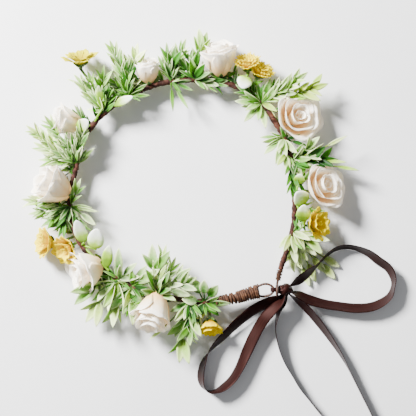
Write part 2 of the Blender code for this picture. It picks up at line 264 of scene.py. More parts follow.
def smooth(points, spacing):
    """Catmull-Rom curve: on each span 0.5 (2b + (c - a) t + (2a - 5b + 4c - d) t^2 + (3b - a - 3c + d) t^3).

    It is then read again at equal spacing along its first three columns.
    """
    knots = np.asarray(points, dtype=float)
    padded = np.vstack([2 * knots[0] - knots[1], knots, 2 * knots[-1] - knots[-2]])
    a, b, c, d = (padded[i:len(padded) - 3 + i, None, :] for i in range(4))
    t = np.linspace(0, 1, 24, endpoint=False)[None, :, None]
    spans = 0.5 * (2 * b + (c - a) * t + (2 * a - 5 * b + 4 * c - d) * t ** 2 + (3 * b - a - 3 * c + d) * t ** 3)
    fine = np.vstack([spans.reshape(-1, knots.shape[1]), knots[-1]])
    along = length_along(fine[:, :3])
    stations = np.linspace(0, along[-1], max(2, int(round(along[-1] / spacing)) + 1))
    return np.column_stack([np.interp(stations, along, column) for column in fine.T])


def unit(vectors):
    """The vectors, each made one long."""
    return vectors / np.linalg.norm(vectors, axis=-1, keepdims=True)


def side_and_up(path):
    """At each point of a path, the level direction to its left and the direction square to both."""
    tangent = unit(np.gradient(path, axis=0))
    left = unit(np.cross([0, 0, 1.0], tangent) + 1e-9)
    return left, unit(np.cross(tangent, left))


def whole_turn(count):
    """That many angles evenly round a circle."""
    return np.linspace(0, TAU, count, endpoint=False)


def tube_grid(path, radius, sides):
    """A ring of points round each point of the path. radius is a number, one per point, or points x sides."""
    left, up = side_and_up(path)
    turn = whole_turn(sides)
    radius = np.broadcast_to(np.asarray(radius, dtype=float).reshape(-1, 1) if np.ndim(radius) == 1 else radius,
                             (len(path), sides))[..., None]
    ring = np.cos(turn)[None, :, None] * left[:, None] + np.sin(turn)[None, :, None] * up[:, None]
    return path[:, None] + radius * ring


def capped(grid, path):
    """The tube's grid with its two ends drawn in to a point, so that it is closed."""
    first, last = (np.broadcast_to(end, (1, grid.shape[1], 3)) for end in (path[0], path[-1]))
    return np.concatenate([first, grid, last])


def table(text):
    """A text table as lists of rows: a blank line ends a list, a comma or a line end a row, and words stay words."""
    return [[tuple(word if word.isalpha() else float(word) for word in row.split())
             for row in part.replace("\n", ",").split(",")] for part in text.strip().split("\n\n")]


def middle(node):
    """The middle of a plain solid's box."""
    low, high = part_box(node)
    return (np.array(low) + np.array(high)) / 2


def settle(piece, slot_name, *nodes, body="crown"):
    """Tie a piece to its body and hide the plain solids that it stands for. Its finish's slot name is not used."""
    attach(piece, body)
    if nodes:
        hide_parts(*nodes)


print("helpers ready")

# %% [markdown]
# ## The satin ribbon
# One length of brown satin, 10 mm wide, is tied in a bow. Loose satin stands on its edge or leans, so the route
# gives each point a height and a lean, and a straight line is carried along it. The two loops go back into the
# knot, and the two tails lie free on the table.

# %% Ribbon routes: x, y, height of the middle line (mm), lean (degrees)
# Numbers without MM are in mm of the maker's plan.
PLAN_SHIFT = (-16.6, 15.4)
RING_Z = 12.0
KNOT = (82.0, -80.0)
ROUTES = dict(zip(("loop_right", "loop_left", "tail_left", "tail_right"), table("""
83.5 -79 12 90, 86.6 -76.8 12 66, 94 -72 11 42, 102 -66 9 52, 109 -60 7 74, 116 -53 6 72, 123 -48 5.6 68
131 -46 5.2 66, 140 -47 5.2 66, 150 -51 5.2 58, 158 -57 5.2 52, 166 -63 5.2 56, 170 -71 5.2 70, 170 -78 5.2 82
167 -86 5.2 70, 159 -92 5.2 56, 150 -95 5.2 50, 138 -95.5 5.4 46, 126 -94 5.8 48, 114 -92 6.6 46, 102 -88.4 9 44
94 -84.6 11 52, 87.6 -81.8 12.4 74, 84 -80.6 12.4 88

81.4 -81.6 11.4 100, 79 -85 10.8 118, 74.5 -88 9.6 138, 67 -91.4 8.4 150, 58 -96 7.2 150, 50 -102 6.2 144
42 -109 5.8 138, 34 -117 5.4 130, 26 -125 5.2 118, 21 -131 5.2 100, 17.5 -137 5.2 74, 15 -144 5.2 62, 14 -152 5.2 58
15.5 -159 5.2 70, 20 -163 5.2 88, 26 -163 5.2 100, 33 -159.5 5.2 118, 40 -153 5.2 124, 46 -143 5.2 130
51 -132 5.2 142, 56 -121 5.8 148, 61 -111 6.8 144, 66 -103 9.4 146, 73 -95 11.4 138, 78.4 -89.6 12.6 118
81 -86 12.8 104, 82 -82 12.4 95

82.6 -82 11.4 90, 83 -85.8 11.4 76, 80.4 -91 10.4 64, 77 -98 8.6 76, 74.6 -110 6.4 90, 75.6 -120 5.6 90
78 -130 5.3 90, 82 -140 5.3 90, 88 -150 5.3 90, 94 -160 5.3 90, 102 -170 5.3 90, 110 -180 5.3 90, 119 -190 5.3 90
129 -199 5.3 90, 140 -207 5.3 90, 152 -214 5.3 90, 165 -219 5.3 90

83.6 -81.6 11.4 90, 86.4 -84.8 11.4 80, 93 -89.4 10 62, 100 -96 8.2 56, 107 -104 6.4 56, 114 -113 5.6 60
121 -123 5.3 68, 128 -134 5.3 78, 134 -145 5.3 88, 140 -157 5.3 90, 146 -169 5.3 90, 152 -181 5.3 90
157 -192 5.3 90, 163 -203 5.3 90, 171 -213 5.3 90, 181 -221 5.3 90, 192 -227 5.3 90
""")))


def plan(x, y, z=0.0):
    """A place in the maker's plan, all in mm, as metres in the crown's frame."""
    return np.array([(x + PLAN_SHIFT[0]) * MM, (y + PLAN_SHIFT[1]) * MM, z * MM])


# %% Satin
def brown_satin():
    """Woven polyester satin, dark brown: long floats along the ribbon give a soft gloss that runs with the light.

    The floats are drawn 0.5 mm apart, coarser than the real threads, so that they show.
    """
    made = new_material("brown_satin", 0.42, Specular_IOR_Level=0.18, Specular_Tint=linear("#c6968e"))
    across = attribute(made, "across")
    place = add_node(made, "CombineXYZ", {"X": across, "Y": attribute(made, "along")}).outputs["Vector"]
    stretched = add_node(made, "Mapping", {"Vector": place, "Scale": (2000.0, 60.0, 1.0)})
    threads = noise(made, 1.0, 2.0, stretched.outputs["Vector"])
    cloth = ramp(made, threads, [(0.25, "#110504"), (0.55, "#1d0b09"), (0.8, "#2c1512")])
    selvedge = ramp(made, calc(made, "MULTIPLY", calc(made, "ABSOLUTE", across), 200.0),
                    [(0.86, "#ffffff"), (0.93, "#9a8a86"), (1.0, "#ffffff")])
    return surfaced(made, mix_colour(made, 1.0, cloth, selvedge, "MULTIPLY"), threads, 0.25, 0.1 * MM)


satin = brown_satin()


# %% Ribbon strips
RIBBON_WIDTH = 10.0 * MM
ROOT_WIDTH = 4.2 * MM
FLARE = 12.0 * MM
SATIN_THICKNESS = 0.3 * MM
CUPPING = 0.25 * MM
PLEAT_DEPTH = 0.5 * MM


def ribbon_strip(name, route, both_ends):
    """A ribbon: each station of its smooth route is a line of points across, along (cos lean) left + (sin lean) up.

    Its width eases from ROOT_WIDTH to RIBBON_WIDTH over FLARE as 3t^2 - 2t^3. It is a little cupped, as a ribbon
    off its reel is, and pleated towards the knot.
    """
    stations = smooth([(*plan(x, y, z), radians(lean)) for x, y, z, lean in route], 1.0 * MM)
    path, lean = stations[:, :3], stations[:, 3:4]
    along = length_along(path)
    tangent = np.gradient(path, axis=0)
    tangent[:, 2] = 0
    tangent = unit(tangent)
    left = np.column_stack([-tangent[:, 1], tangent[:, 0], np.zeros(len(path))])
    across = np.cos(lean) * left + np.sin(lean) * np.array([0, 0, 1.0])
    facing = np.cross(across, tangent)
    open_part = np.clip(along / FLARE, 0, 1)
    if both_ends:
        open_part = np.minimum(open_part, np.clip((along[-1] - along) / FLARE, 0, 1))
    open_part = open_part ** 2 * (3 - 2 * open_part)
    half = (ROOT_WIDTH + (RIBBON_WIDTH - ROOT_WIDTH) * open_part) / 2
    u = np.linspace(-1, 1, 9)
    cup = CUPPING * (1 - u ** 2)
    pleat = PLEAT_DEPTH * (1 - open_part)[:, None] * np.cos(2.5 * np.pi * u)
    grid = (path[:, None] + (half[:, None] * u)[..., None] * across[:, None]
            + (cup + pleat)[..., None] * facing[:, None])
    work = Patchwork().add(grid, across=half[:, None] * u, along=along[:, None])
    return work.object(name, satin, SATIN_THICKNESS), path, float(along[-1])


for body, route in ROUTES.items():
    looped = body.startswith("loop")
    piece, path, length = ribbon_strip("satin_ribbon_" + body, route, looped)
    settle(piece, "satin_ribbon", "ribbon_" + body, body=body)
    print(body, round(length / MM), "mm of ribbon")

# %% [markdown]
# ## The knot and the ribbon through the eyes
# The knot is the ribbon pulled tight over itself: a ball whose radius is a sum of folds, with one band round its
# middle. The part through the eyes is the ribbon bunched to a cord: a strip carried round the left eye's tip.

# %% Knot and tie
def folded_ball(name, centre, size, folds, depth):
    """A ball of satin: radius 1 + depth cos(folds a + 3 h), where a is the turn and h the height."""
    h = np.linspace(-1, 1, 40)[:, None] * 0.999
    a = whole_turn(72)[None, :]
    r = 1 + depth * np.cos(folds * a + 3 * h) + 0.5 * depth * np.cos(2 * folds * a - 5 * h + 1.3)
    flat = np.sqrt(1 - h ** 2) * r
    grid = np.stack([flat * np.cos(a), flat * np.sin(a), h * r], axis=-1) * np.array(size) / 2 + centre
    return Patchwork().add(capped(grid, grid.mean(axis=1)), wrapped=True, across=0.0, along=0.0).object(name, satin)


KNOT_SIZE = (11.6 * MM, 9.6 * MM, 9.4 * MM)
BAND_HALF_WIDTH = 2.3 * MM
BAND_RADII = (4.9 * MM, 4.8 * MM)
BAND_LENGTH = 30 * MM
BAND_TILT = radians(-28)

knot_centre = middle("ribbon_knot")
settle(folded_ball("satin_knot", knot_centre, KNOT_SIZE, 5, 0.09), "satin_ribbon", "ribbon_knot")


def knot_band():
    """The band over the knot: a cupped strip, 4.6 mm wide, round an ellipse a little outside the ball."""
    a = np.linspace(0, TAU, 49)[:, None]
    u = np.linspace(-1, 1, 11)[None, :]
    swell = (1.06 - 0.10 * u ** 4 + 0.02 * np.cos(3 * np.pi * u)) * np.sqrt(1 - (0.5 * u) ** 2)
    around = np.stack([BAND_HALF_WIDTH * u + 0.0 * a, BAND_RADII[0] * swell * np.cos(a),
                       BAND_RADII[1] * swell * np.sin(a)], axis=-1)
    c, s = cos(BAND_TILT), sin(BAND_TILT)
    grid = around @ np.array([[c, -s, 0], [s, c, 0], [0, 0, 1]]).T + knot_centre
    work = Patchwork().add(grid, across=BAND_HALF_WIDTH * u, along=BAND_LENGTH * a / TAU)
    return work.object("satin_knot_band", satin, SATIN_THICKNESS)


settle(knot_band(), "satin_ribbon")

EYE_TIP = (73.0, -80.0)
TIE_RADIUS = 2.5
TIE_HALF_WIDTH = 1.5
KNOT_REACH = 4.6


def ribbon_tie():
    """Bunched ribbon: a strip 3 mm wide, from the knot round the left eye's tip and back, in an upright plane."""
    turn = np.radians(np.linspace(90, 270, 21))
    reach = KNOT[0] - EYE_TIP[0] - KNOT_REACH
    x = np.concatenate([[reach, reach / 2], TIE_RADIUS * np.cos(turn), [reach / 2, reach]])[:, None]
    z = np.concatenate([[TIE_RADIUS] * 2, TIE_RADIUS * np.sin(turn), [-TIE_RADIUS] * 2])[:, None]
    u = np.linspace(-1, 1, 13)[None, :]
    outward = 1 + 0.22 * np.cos(3 * np.pi * u) / TIE_RADIUS
    grid = np.stack([EYE_TIP[0] + PLAN_SHIFT[0] + x * np.where(x < 0, outward, 1),
                     EYE_TIP[1] + PLAN_SHIFT[1] + TIE_HALF_WIDTH * u + 0 * x, RING_Z + z * outward], axis=-1) * MM
    work = Patchwork().add(grid, across=TIE_HALF_WIDTH * MM * u, along=np.linspace(0, 18 * MM, len(x))[:, None])
    return work.object("satin_through_eyes", satin, 0.5 * MM)


settle(ribbon_tie(), "satin_ribbon", "ribbon_tie")
print("knot centre in mm", np.round(knot_centre / MM, 1).tolist())

# %% [markdown]
# ## The taped ring
# Florist's tape is crinkled waxed paper wound at a slant, so the ring looks like a rough twig: each turn laps the
# last with a small step, and lumps show where stems are bound in. The tube's radius is therefore a function of
# the way along and the way round.

# %% Ring route and tape
RING_POINTS, LEFT_EYE = table("""
78 -64, 82 -52, 89 -26, 89 4, 85 31, 75 53, 57 75, 30 87, -2 88, -30 82, -56 68, -77 46, -86 18, -91 -10, -84 -40
-62 -65, -32 -81, -6 -87, 20 -90, 42 -86.5, 54 -81

59 -78, 65 -75.5, 70 -76.3, 73 -80, 70 -84, 64 -85.4, 56 -84, 48 -86.6
""")
TAPE_END_X = (22 + PLAN_SHIFT[0]) * MM
ring_path = smooth([plan(x, y, RING_Z) for x, y in RING_POINTS], 0.7 * MM)


def wave_noise(along, turn, seed, waves=9, longest=30.0, shortest=3.0):
    """Smooth lumps: a sum of cosines of the way along (mm) and whole turns round, seeded, between -1 and 1."""
    rng = seeded(seed)
    total = 0.0
    for _ in range(waves):
        pitch = rng.uniform(shortest, longest)
        total = total + np.cos(TAU * along / pitch + rng.integers(-2, 3) * turn + rng.uniform(0, 6.3))
    return total / waves


def brown_tape():
    """Waxed crepe paper, brown: matt, crinkled across its width every 0.6 mm, with painted shade at the foot of each
    turn, under the lapping edge.
    """
    made = new_material("brown_crepe_tape", 0.75, Specular_IOR_Level=0.2)
    base = ramp(made, noise(made, 260.0, 4.0), [(0.3, "#1b0a05"), (0.5, "#361910"), (0.72, "#563223")])
    # Painted shade: the colour darkens just past each turn's step, where the edge above would shade it.
    shade = ramp(made, attribute(made, "lap"), [(0.0, "#6a5a52"), (0.25, "#ffffff"), (1.0, "#ffffff")])
    colour = mix_colour(made, 1.0, base, shade, "MULTIPLY")
    return surfaced(made, colour, noise(made, 1600.0), 0.5)


TAPE_RADIUS = 2.0
TAPE_STEP = 0.5
TAPE_LUMPS = 0.6
TAPE_PITCH = 6.5
TAPE_SIDES = 28


def taped_ring():
    """Radius 2 mm + 0.5 mm of lap, rising over each slanting turn of tape, + 0.6 mm of lumps."""
    taped = ring_path[(ring_path[:, 1] > plan(0, -66)[1]) | (ring_path[:, 0] < TAPE_END_X)]
    along = length_along(taped)[:, None] / MM
    turn = whole_turn(TAPE_SIDES)[None, :]
    slant = 0.7 * wave_noise(along, 0 * turn, 5, longest=60.0, shortest=18.0)
    lap = (along / TAPE_PITCH + turn / TAU + slant) % 1.0
    step = lap * np.clip((1 - lap) / 0.08, 0, 1)
    lumps = wave_noise(along, turn, 8) + 0.6 * wave_noise(along, turn, 12, waves=12, longest=5.0, shortest=1.6)
    radius = (TAPE_RADIUS + TAPE_STEP * step + TAPE_LUMPS * lumps) * MM
    work = Patchwork().tube(taped, radius, TAPE_SIDES, lap=np.concatenate([lap[:1], lap, lap[-1:]]))
    return work.object("taped_ring", brown_tape())


settle(taped_ring(), "florist_tape", "ring_tape")
print("tape is", round(float(length_along(ring_path)[-1]) / MM), "mm round")


# %% [markdown]
# ## Bare wire eyes
# Only the two ends of the wire show. It is steel wrapped in brown paper at the mill, 2 mm thick, so it is a
# smooth tube along the eye's bend, with the paper's fine slanting seam in its colour.

# %% Wire eyes
HOOK_CENTRE = (75.5, -80.0)
HOOK_RADIUS = 4.9
WIRE_RADIUS = 0.95


def covered_wire():
    """Mill-covered wire: brown paper, matt, with a slanting seam every 2 mm."""
    made = new_material("paper_covered_wire", 0.7)
    seam = add_node(made, "TexWave", {"Vector": object_place(made), "Scale": 150.0,
                                                "Distortion": 3.0}).outputs["Fac"]
    colour = ramp(made, seam, [(0.1, "#1e0e08"), (0.5, "#3a2116"), (0.9, "#583725")])
    return surfaced(made, colour, seam, 0.3)


def bare_wire():
    """The wire from inside the winding round the left eye, and the right end's small round eye with its lead-in."""
    eye = smooth([plan(x, y, RING_Z) for x, y in [(42, -86.5), (54, -81)] + LEFT_EYE], 0.6 * MM)
    turn = np.radians(np.linspace(310, 0, 40))
    circle = plan(*HOOK_CENTRE, RING_Z) + HOOK_RADIUS * MM * np.stack([0 * turn, np.cos(turn), np.sin(turn)], axis=1)
    hook = np.vstack([circle, [plan(76.6, -71, RING_Z), plan(78, -64, RING_Z)]])
    work = Patchwork().tube(eye, WIRE_RADIUS * MM, 14).tube(hook, WIRE_RADIUS * MM, 14)
    return work.object("bare_wire_eyes", covered_wire())


settle(bare_wire(), "covered_wire", "ring_wire")
print("wire eyes made")

# %% [markdown]
# ## The wound bindings
# Thin paper-covered wire is wound by hand over the ends. Each winding is one wire, so it is made as one helix with
# an uneven pitch, round a core that swells towards the eye: twenty turns on the left and eight on the right.

# %% Bindings
LEFT_BINDING = [(26, -89.3), (36, -87.7), (42, -86.6), (48, -85.0), (55.5, -82.6), (61, -81.2)]
RIGHT_BINDING = [(77.88, -64.5), (76.1, -72.6)]

# Paper-covered binding wire: lighter brown than the tape, dull and a little mottled.
paper_wire = new_material("wound_paper_wire", 0.72, Specular_IOR_Level=0.2)
mottled = ramp(paper_wire, noise(paper_wire, 400.0), [(0.3, "#26130a"), (0.5, "#3f2617"), (0.7, "#5f402c")])
surfaced(paper_wire, mottled, noise(paper_wire, 3000.0, 2.0), 0.4, 0.1 * MM)


def winding(name, route, core, turns, wire, seed):
    """A helix: core radius c(t) along the route, turned 2 pi times the turns, with the pitch let out and in.

    The core inside it is a plain tube, so that nothing shows through.
    """
    axis = smooth([plan(x, y, RING_Z) for x, y in route], 0.4 * MM)
    left, up = side_and_up(axis)
    t = np.linspace(0, 1, turns * 26)
    rng = seeded(seed)
    place = np.clip(t + 0.35 / turns * np.interp(t * turns, np.arange(turns + 1), rng.normal(0, 1, turns + 1)), 0, 1)
    where = place * (len(axis) - 1)
    read = [np.column_stack([np.interp(where, np.arange(len(axis)), column) for column in values.T])
            for values in (axis, left, up)]
    swell = np.interp(t * turns, np.arange(turns + 1), rng.normal(0, 0.09, turns + 1))
    radius = ((core[0] + (core[1] - core[0]) * place ** 0.7) * MM + (wire + 0.5 * swell * MM))[:, None]
    angle = (TAU * turns * t)[:, None]
    helix = read[0] + radius * (np.cos(angle) * read[1] + np.sin(angle) * read[2])
    around = unit(np.gradient(helix, axis=0))
    outward = unit(helix - read[0])
    beside = np.cross(around, outward)
    turn = whole_turn(8)[None, :, None]
    grid = helix[:, None] + wire * (np.cos(turn) * outward[:, None] + np.sin(turn) * beside[:, None])
    work = Patchwork().add(capped(grid, helix), wrapped=True)
    work.tube(axis, (core[0] + (core[1] - core[0]) * np.linspace(0, 1, len(axis)) ** 0.7) * MM, 20)
    return work.object(name, paper_wire)


settle(winding("left_winding", LEFT_BINDING, (1.9, 4.3), 20, 0.86 * MM, 3), "paper_wire", "left_binding")
settle(winding("right_winding", RIGHT_BINDING, (1.7, 1.3), 8, 0.45 * MM, 4), "paper_wire", "right_binding")
print("windings made")

# %% [markdown]
# ## Roses
# Each rose is cut from thin cream cloth: small petals round the heart, then wider ones with rolled and ruffled
# rims. One petal is a patch: its midline leaves the flower's foot and turns outwards as it climbs, and the patch
# wraps round the flower's axis. A rose is whorls of such petals.

# %% Petals
PETAL_ROWS = 13
PETAL_COLUMNS = 15


def petal(turn, half_width, foot, span, start, end, roll, ruffle, waves, phase, nip):
    """One petal, about the axis Z, from its foot up.

    The midline's slope from the axis is start + (end - start) v + roll s(v), in degrees, where s eases in over the
    last third. Its points are the running sums of span sin(slope) outwards and span cos(slope) upwards. Across, it
    covers turn +- half_width, less at its foot. Its corners are drawn down by nip |u|^3, and its rim waves by ruffle.
    """
    v = np.linspace(0, 1, PETAL_ROWS)
    u = np.linspace(-1, 1, PETAL_COLUMNS)
    ease = np.clip((v - 0.66) / 0.34, 0, 1)
    slope = np.radians(start + (end - start) * v + roll * ease ** 2)
    step = span / (PETAL_ROWS - 1)
    between = (slope[1:] + slope[:-1]) / 2
    reach = v[:, None] * (1 - nip * np.abs(u) ** 3)[None, :]
    r = np.interp(reach, v, foot + np.concatenate([[0], np.cumsum(step * np.sin(between))]))
    z = np.interp(reach, v, np.concatenate([[0], np.cumsum(step * np.cos(between))]))
    wave = ruffle * reach ** 3 * np.sin(waves * np.pi * u[None, :] + phase)
    r = r + wave
    z = z + 0.5 * wave * np.cos(np.pi * u[None, :])
    wide = half_width * (0.45 + 0.55 * np.sin(np.pi * np.clip(reach, 0, 1) * 0.62) / sin(pi * 0.62 * 0.81))
    angle = turn + np.clip(wide, 0, 1.3 * half_width) * u[None, :]
    return np.stack([r * np.cos(angle), r * np.sin(angle), z], axis=-1), reach


def whorls(rows, seed):
    """All petals of a flower, as (grid, reach). A row is a whorl's count of petals, then petal()'s own numbers."""
    rng = seeded(seed)
    made = []
    for count, width, foot, span, start, end, roll, ruffle, waves in rows:
        offset = rng.uniform(0, TAU)
        for k in range(int(count)):
            jitter = rng.uniform(-1, 1, 5)
            made.append(petal(offset + TAU * k / count + 0.16 * jitter[0],
                              radians(width * (1 + 0.12 * jitter[1])), foot, span * (1 + 0.07 * jitter[2]),
                              start, end + 9 * jitter[3], roll * (1 + 0.35 * jitter[4]), ruffle, waves,
                              rng.uniform(0, 6.28), rng.uniform(0.16, 0.42)))
    return made


# Each whorl: petals, half width (degrees), foot, span (mm), start, end, roll (degrees), ruffle (mm), waves
ROSE_WHORLS, BUD_WHORLS = table("""
3 125 0.2 8.6 2 -12 14 0.2 1
3 112 1.1 10.2 14 -6 26 0.35 1.2
4 92 2.2 11.6 30 0 40 0.55 1.5
5 80 3.2 13 50 8 54 0.8 1.8
5 74 4 14.2 68 20 60 1 2.1

3 105 0.3 9 14 -22 10 0.25 1.5
4 84 0.8 9.6 24 -18 14 0.35 1.6
5 70 1.3 10 38 -14 18 0.45 1.8
5 62 1.8 10 50 -12 22 0.5 2
""")


def cream_cloth():
    """Fine cream polyester cloth: matt, a soft sheen at grazing angles, peach towards each petal's foot, partly dye
    and partly painted shade in the flower's heart.
    """
    # The faint warm emission is a painted glow, standing in for light through the thin cloth.
    made = new_material("cream_petal_cloth", 0.85, (0.25, (0.004, 0.003, 0.002)), ("#ffe0a8", 0.15),
                        Sheen_Weight=0.1, Specular_IOR_Level=0.2)
    level = calc(made, "ADD", attribute(made, "reach"), calc(made, "MULTIPLY", noise(made, 220.0), 0.35))
    # Peach and darker towards each petal's foot: partly the cloth's dye, partly painted shade where the petals close
    # over the heart.
    colour = ramp(made, level, [(0.3, "#dfa658"), (0.62, "#f2cd92"), (0.88, "#fcebcd"), (1.0, "#fff7e8")])
    weave = add_node(made, "TexChecker", {"Vector": object_place(made), "Scale": 2600.0}).outputs["Fac"]
    creases = calc(made, "MULTIPLY_ADD", weave, 0.2, noise(made, 420.0, 4.0))
    return surfaced(made, colour, creases, 0.35)


rose_cloth = cream_cloth()


# %% Placing flowers
def flower_turn(heading, rise):
    """Rotation that stands a flower's own Z along a heading and rise (degrees). Columns are its X, Y and Z."""
    a, b = radians(heading), radians(rise)
    axis = np.array([cos(b) * cos(a), cos(b) * sin(a), sin(b)])
    side = np.array([-sin(a), cos(a), 0.0])
    return np.column_stack([np.cross(side, axis), side, axis])


def flower_centre(kind, i, nudge):
    """Where a flower stands: the middle of its plain bloom, nudged by so many mm."""
    return middle(f"{kind}_{i}_bloom") + np.array(nudge) * MM


def bloom(kind, i, row, seed, finish):
    """A flower of petals, scaled to its radius and depth, stood on its node's middle.

    Points that would go under the table are eased back up onto it. The outermost petals' slope is kept for the
    sepals under them.
    """
    rows, nudge, heading, rise, radius, depth = row
    petals = whorls(rows, seed)
    every = np.concatenate([grid.reshape(-1, 3) for grid, _ in petals])
    widen = radius / np.percentile(np.hypot(every[:, 0], every[:, 1]), 98)
    low, high = every[:, 2].min(), every[:, 2].max()
    deepen = depth / (high - low)
    turn = flower_turn(heading, rise)
    centre = flower_centre(kind, i, nudge)
    work = Patchwork()
    for grid, reach in petals:
        sized = grid * np.array([widen, widen, deepen])
        sized[..., 2] -= depth / 2 + low * deepen
        world = sized * MM @ turn.T + centre
        sunk = world[..., 2] < FLOOR
        world[..., 2] = np.where(sunk, FLOOR + 0.06 * np.abs(world[..., 2] - FLOOR), world[..., 2])
        work.add(world, reach=reach)
    CUP_SLOPE[f"{kind}_{i}"] = degrees(atan(tan(radians(rows[-1][4])) * widen / deepen))
    return work.object(f"{kind}_{i}_petals", finish, PETAL_THICKNESS)


# Each flower: its whorls, a nudge (mm), heading, rise (degrees), radius, depth (mm)
ROSES = [
    (BUD_WHORLS, (0, -2, 1), 100, 24, 9.5, 19),
    (ROSE_WHORLS, (0, -1, 2), 94, 22, 14.5, 27),
    (ROSE_WHORLS, (-5.5, -2.5, 1), 30, 64, 18.5, 20),
    (ROSE_WHORLS, (-6, 1, 1), 24, 54, 17, 20),
    (ROSE_WHORLS, (1, -1, 2), 168, 20, 11, 27),
    (ROSE_WHORLS, (4, -3.5, 2), 150, 26, 15.5, 31),
    (ROSE_WHORLS, (6, 6, 2), 202, 30, 16, 27),
    (ROSE_WHORLS, (1, 6, 5), 256, 30, 15, 33),
]
PETAL_THICKNESS = 0.25 * MM
FLOOR = 0.3 * MM
CUP_SLOPE = {}

for i, row in enumerate(ROSES, 1):
    settle(bloom("rose", i, row, 20 + i, rose_cloth), "cream_petal", f"rose_{i}_bloom")
print("roses:", len(ROSES))

# %% [markdown]
# ## Yellow flowers
# The small flowers are stamped from golden cloth with wavy edges. Four are open cups of broad petals, two are
# gathered into a tuft, and one is a daisy seen from its side. They use the same petal patch with other whorls.

# %% Yellow flowers
TUFT_WHORLS, DAISY_WHORLS, CUP_WHORLS = table("""
5 30 0.4 7 6 10 20 0.6 3
8 24 0.8 8 18 22 24 0.8 3
10 22 1.2 8.6 34 34 26 0.9 3
11 21 1.5 8.8 52 48 26 0.9 3

8 12 0.4 3.6 10 20 30 0.3 2
9 21 1 9.6 46 52 24 0.5 2
10 20 1.2 12 60 66 20 0.6 2

4 56 0.4 7 8 0 26 0.6 2
5 50 1 8.6 32 18 36 0.75 2.2
6 46 1.5 9.2 54 38 36 0.8 2.4
""")
YELLOW_FLOWERS = [
    (DAISY_WHORLS, (0, 0, 0), 95, 26, 13.5, 9),
    (TUFT_WHORLS, (0, -1, 1), 96, 40, 9.5, 11),
    (TUFT_WHORLS, (-2, -2, 1), 60, 40, 10, 11),
    (CUP_WHORLS, (-1, 0, 1), 10, 46, 12, 13),
    (CUP_WHORLS, (1, 0, 1), 175, 34, 11.5, 13),
    (CUP_WHORLS, (2, 0, 2), 215, 48, 11.5, 12),
    (CUP_WHORLS, (-2.5, 0.5, 1), 272, 28, 9.5, 12),
]


def golden_cloth(name, stops):
    """Golden stamped cloth: matt, orange towards each petal's foot and paler at the edge, its darker heart partly the
    cloth's colour and partly painted shade in the cup. stops are its colours, heart to edge.
    """
    # The faint yellow emission is a painted glow, standing in for light through the thin cloth.
    made = new_material(name, 0.85, (0.08, (0.002, 0.002, 0.0005)), ("#ffd800", 0.1), Specular_IOR_Level=0.05)
    level = calc(made, "ADD", attribute(made, "reach"), calc(made, "MULTIPLY", noise(made, 300.0), 0.3))
    return surfaced(made, ramp(made, level, stops), noise(made, 900.0), 0.4)


# The stops darken towards each petal's foot: partly the cloth's own orange, partly painted shade inside the cups.
yellow_cloth = golden_cloth("golden_petal_cloth", [(0.2, "#805400"), (0.45, "#b28800"), (0.75, "#d8b600"),
                                                   (1.0, "#e2cc00")])
# The daisy gets a darker copy of the same golden cloth because its petals face the light: the darkness is painted
# shade.
daisy_shaded_cloth = golden_cloth("daisy_shaded_petal_cloth", [(0.2, "#645000"), (0.45, "#8e7a00"), (0.75, "#aca000"),
                                                 (1.0, "#bcb400")])
for i, row in enumerate(YELLOW_FLOWERS, 1):
    cloth = daisy_shaded_cloth if row[0] is DAISY_WHORLS else yellow_cloth
    settle(bloom("yellow_flower", i, row, 50 + i, cloth), "yellow_petal", f"yellow_flower_{i}_bloom")
print("yellow flowers:", len(YELLOW_FLOWERS))

# Where the blooms stand, seen from above: x, y and 0.78 of the radius, in metres
BLOOM_DISCS = np.array([
    (*flower_centre(kind, i, row[1])[:2], 0.78 * row[4] * MM)
    for kind, rows in (("rose", ROSES), ("yellow_flower", YELLOW_FLOWERS)) for i, row in enumerate(rows, 1)
])

# %% [markdown]
# ## Leaves
# The sprigs are soft moulded plastic, sprayed white along the edges. Each leaf is a narrow blade that tapers to a
# point, folded a little along its midrib and curled along its length. A sprig is a few shoots from one root, and
# each shoot carries leaves in turn on both sides and one at its tip.

# %% Leaf blades and shoots
def blade(work, root, heading, rise, length, width, curl, fold, roll, tone, frost, rows=9, kept=False):
    """One leaf. At v along and u across, its half width is width/2 sin(pi v^0.8)^0.8, it rises or droops by
    curl v^2, its halves lift by fold |u| from the midrib, and the whole blade is rolled about its midrib.

    It is left out where it would lie over a flower, unless it is kept. Where it would sink into the table it lies
    on it, each leaf at a height of its own, so that no two share a plane.
    """
    v = np.linspace(0, 1, rows)[:, None]
    u = np.linspace(-1, 1, 5)[None, :]
    down, side, axis = flower_turn(heading, rise).T
    if not kept and any(hidden_by_bloom(root + part * length * axis) for part in (0.55, 0.9)):
        return
    c, s = cos(roll), sin(roll)
    across, face = c * side - s * down, -s * side - c * down
    half = width / 2 * np.sin(np.pi * np.clip(v, 0.001, 0.999) ** 0.8) ** 0.8
    lift = curl * length * v ** 2 + fold * half * np.abs(u)
    grid = (root + (length * v)[..., None] * axis + (half * u)[..., None] * across + lift[..., None] * face)
    grid[..., 2] = np.maximum(grid[..., 2], (0.5 + 2.4 * (7.31 * tone % 1)) * MM)
    work.add(grid, edge=np.abs(u), tip=v, tone=tone, frost=frost)


def hidden_by_bloom(place):
    """True where a leaf at this place would lie over a flower."""
    return bool(np.any(np.hypot(*(BLOOM_DISCS[:, :2] - place[:2]).T) < BLOOM_DISCS[:, 2]))


